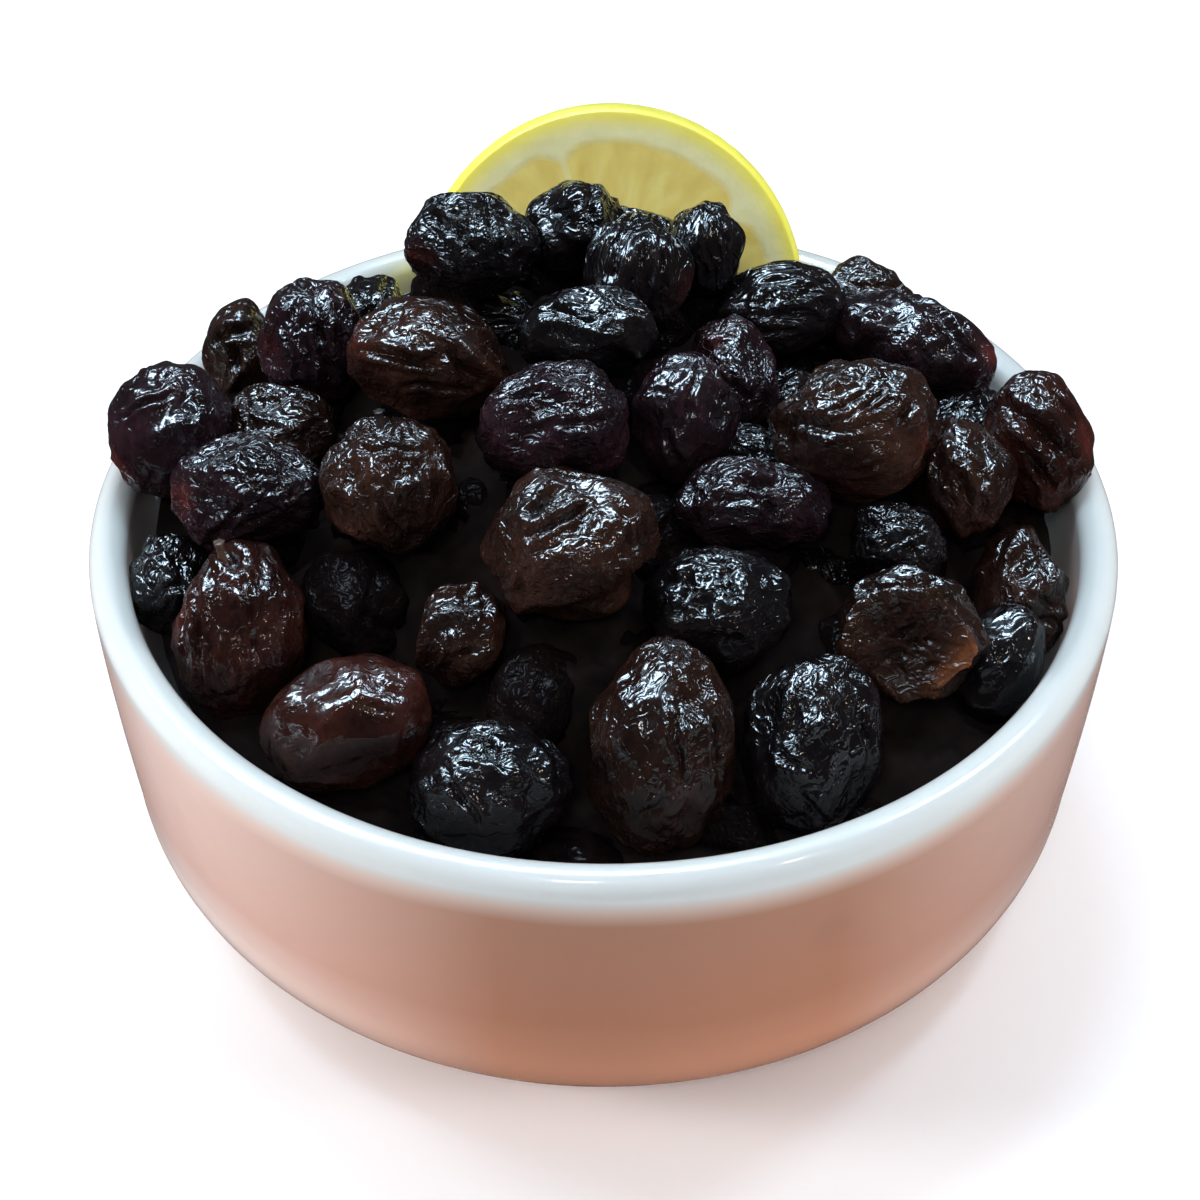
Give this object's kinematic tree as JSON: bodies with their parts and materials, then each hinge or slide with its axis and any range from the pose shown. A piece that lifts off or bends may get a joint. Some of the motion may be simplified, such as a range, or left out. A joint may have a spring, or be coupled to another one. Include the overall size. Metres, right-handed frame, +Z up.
{
  "type": "dish of olives",
  "caption": "Round ceramic bowl heaped with wrinkled black olives, with a lemon slice standing at the back.",
  "frame": {"origin": "middle of the bowl's flat foot, on the surface that it stands on", "axes": "+Z up, +Y towards the lemon slice at the back, +X to the right seen from the front"},
  "size_m": [0.13, 0.13, 0.0784],
  "materials": {
    "glaze": "gloss glaze, white at the rim and inside, pale salmon on the outside",
    "olive_skin": "wet, oiled and wrinkled skin, black to reddish brown",
    "lemon": "moist cut pulp with a pale pith and a yellow rind"
  },
  "bodies": {
    "root": {"bowl": "glaze", "olives": "olive_skin", "lemon_slice": "lemon"}
  },
  "joints": []
}
